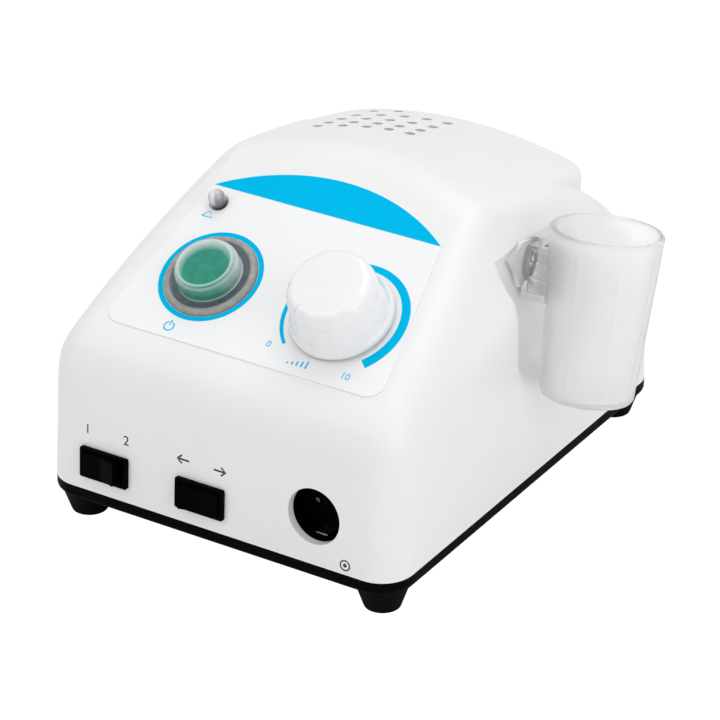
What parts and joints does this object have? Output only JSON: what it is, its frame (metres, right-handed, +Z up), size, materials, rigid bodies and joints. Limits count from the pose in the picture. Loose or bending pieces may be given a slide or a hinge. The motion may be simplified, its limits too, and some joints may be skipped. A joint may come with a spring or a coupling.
{
  "type": "nail drill machine",
  "caption": "Desktop nail drill control box with sloped panel, push power button, speed knob, rocker switches, motor socket and a swivelling cup for bits.",
  "frame": {"origin": "middle of the whole object's footprint, on the surface that the four feet stand on", "axes": "+X to the user's right, towards the cup; +Y to the back; +Z up"},
  "size_m": [0.1504, 0.164, 0.0984],
  "materials": {
    "white_shell": "glossy white ABS",
    "black_base": "satin black ABS",
    "rubber_black": "matt black rubber",
    "screw_steel": "zinc-plated steel",
    "label_film": "printed film",
    "grey_silicone": "grey silicone",
    "green_lens": "green lens",
    "black_plastic": "glossy black",
    "clear_lens": "water-clear epoxy",
    "frosted_clear": "frosted clear plastic",
    "nickel": "nickel plated",
    "brass_contact": "brass",
    "core_steel": "laminated steel",
    "copper_wire": "enamelled copper",
    "former_white": "natural nylon",
    "board_green": "green solder mask",
    "sink_aluminium": "extruded aluminium",
    "sleeve_blue": "shrink sleeve",
    "wire_blue": "PVC insulation",
    "wire_red": "PVC insulation",
    "wire_grey": "PVC insulation",
    "fuse_glass": "glass tube",
    "resistor_tan": "lacquered"
  },
  "bodies": {
    "cabinet": {"upper_housing": "white_shell", "base_plate": "black_base", "rubber_feet": "rubber_black", "foot_screws": "screw_steel", "panel_label": "label_film", "button_boot": "grey_silicone", "power_switch_body": "black_plastic", "switch_ring_nut": "nickel", "button_spring": "screw_steel", "switch_terminals": "brass_contact", "potentiometer_body": "nickel", "potentiometer_nut": "nickel", "potentiometer_washer": "nickel", "potentiometer_terminals": "brass_contact", "overload_lamp": "clear_lens", "lamp_clip": "black_plastic", "mode_switch_body": "black_plastic", "direction_switch_body": "black_plastic", "rocker_terminals": "brass_contact", "motor_socket_shell": "nickel", "motor_socket_insert": "black_plastic", "motor_socket_contacts": "brass_contact", "socket_screws": "screw_steel", "transformer_core": "core_steel", "coil_former": "former_white", "primary_winding": "copper_wire", "secondary_winding": "copper_wire", "transformer_frame": "screw_steel", "transformer_screws": "screw_steel", "control_board": "board_green", "board_screws": "screw_steel", "filter_capacitor": "sleeve_blue", "small_capacitors": "sleeve_blue", "bridge_rectifier": "black_plastic", "reversing_relay": "wire_blue", "heat_sink": "sink_aluminium", "power_transistor": "black_plastic", "control_chip": "black_plastic", "resistors": "resistor_tan", "wire_headers": "former_white", "mains_inlet": "black_plastic", "inlet_pins": "brass_contact", "fuse_holder": "black_plastic", "fuse_cap": "black_plastic", "glass_fuse": "fuse_glass", "foot_jack": "black_plastic", "foot_jack_nut": "nickel", "mains_wires": "wire_blue", "output_wires": "wire_red", "control_wires": "wire_grey"},
    "power_button": {"button_cap": "green_lens"},
    "speed_control": {"speed_knob": "white_shell", "knob_set_screw": "screw_steel", "speed_shaft": "nickel"},
    "mode_key": {"mode_rocker": "black_plastic"},
    "direction_key": {"direction_rocker": "black_plastic"},
    "cup_bracket": {"holder_bracket": "frosted_clear", "pivot_washer": "screw_steel", "pivot_screw": "screw_steel"},
    "cup": {"holder_cup": "frosted_clear"}
  },
  "joints": [
    {"name": "power_press", "type": "slide", "parent": "cabinet", "child": "power_button", "axis": [0, 0.4836, -0.8753], "range_m": [0, 0.003], "stiffness_N_per_m": 900, "springref_m": -0.0015, "deforming": ["button_boot", "button_spring"]},
    {"name": "speed_turn", "type": "hinge", "parent": "cabinet", "child": "speed_control", "pos_m": [0.00794, -0.04589, 0.07246], "axis": [0, 0.4836, -0.8753], "range_deg": [0, 300]},
    {"name": "mode_rock", "type": "hinge", "parent": "cabinet", "child": "mode_key", "pos_m": [-0.05305, -0.07631, 0.02164], "axis": [0, 0.061, 0.9981], "range_deg": [0, 20]},
    {"name": "direction_rock", "type": "hinge", "parent": "cabinet", "child": "direction_key", "pos_m": [-0.01985, -0.07631, 0.02164], "axis": [0, -0.061, -0.9981], "range_deg": [0, 20]},
    {"name": "holder_swivel", "type": "hinge", "parent": "cabinet", "child": "cup_bracket", "pos_m": [0.03475, 0.01192, 0.074], "axis": [1, 0, 0], "range_deg": [-15, 25]},
    {"name": "cup_lift", "type": "slide", "parent": "cup_bracket", "child": "cup", "axis": [0, 0.1857, 0.9826], "range_m": [0, 0.013]}
  ]
}
